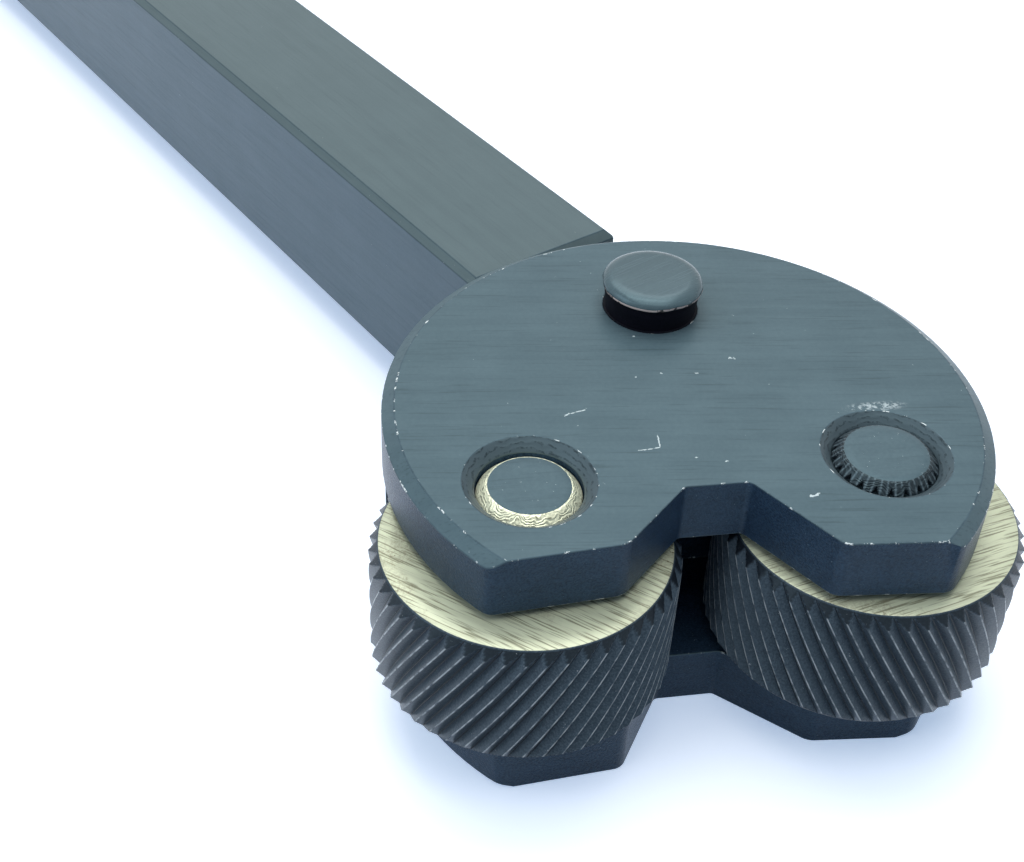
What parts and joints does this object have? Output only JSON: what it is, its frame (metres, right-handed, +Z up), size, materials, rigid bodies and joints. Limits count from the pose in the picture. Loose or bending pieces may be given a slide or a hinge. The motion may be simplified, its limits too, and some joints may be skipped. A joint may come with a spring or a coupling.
{
  "type": "swivel-head knurling tool",
  "caption": "Lathe knurling tool: a rectangular shank with a slotted round head that swivels on a rivet and carries diagonal-toothed wheels on pins.",
  "frame": {"origin": "on the pivot's axis at the lower face of the head, which is also the flush lower end of the pivot rivet", "axes": "+Z up along the pivot and the wheel pins, +Y along the shank away from the head, +X across the shank"},
  "size_m": [0.041, 0.1411, 0.0215],
  "materials": {
    "shank_steel": "black oxide, satin",
    "head_steel": "black oxide over a fine brushed face",
    "wheel_steel": "ground side faces, blackened teeth",
    "pin_steel": "black oxide, turned",
    "rivet_steel": "black oxide with a bare burr"
  },
  "bodies": {
    "shank": {"shank": "shank_steel"},
    "swivel_head": {"head": "head_steel", "left_wheel_pin": "pin_steel", "right_wheel_pin": "pin_steel", "pivot_rivet": "rivet_steel"},
    "left_wheel": {"left_knurl_wheel": "wheel_steel"},
    "right_wheel": {"right_knurl_wheel": "wheel_steel"}
  },
  "joints": [
    {"name": "head_swivel", "type": "hinge", "parent": "shank", "child": "swivel_head", "pos_m": [0, 0, 0.00953], "axis": [0, 0, 1], "range_deg": [-13, 67]},
    {"name": "left_wheel_spin", "type": "hinge", "parent": "swivel_head", "child": "left_wheel", "pos_m": [-0.01721, -0.0097, 0.00954], "axis": [0, 0, 1], "continuous": true},
    {"name": "right_wheel_spin", "type": "hinge", "parent": "swivel_head", "child": "right_wheel", "pos_m": [0.00227, -0.01962, 0.00954], "axis": [0, 0, 1], "continuous": true}
  ]
}
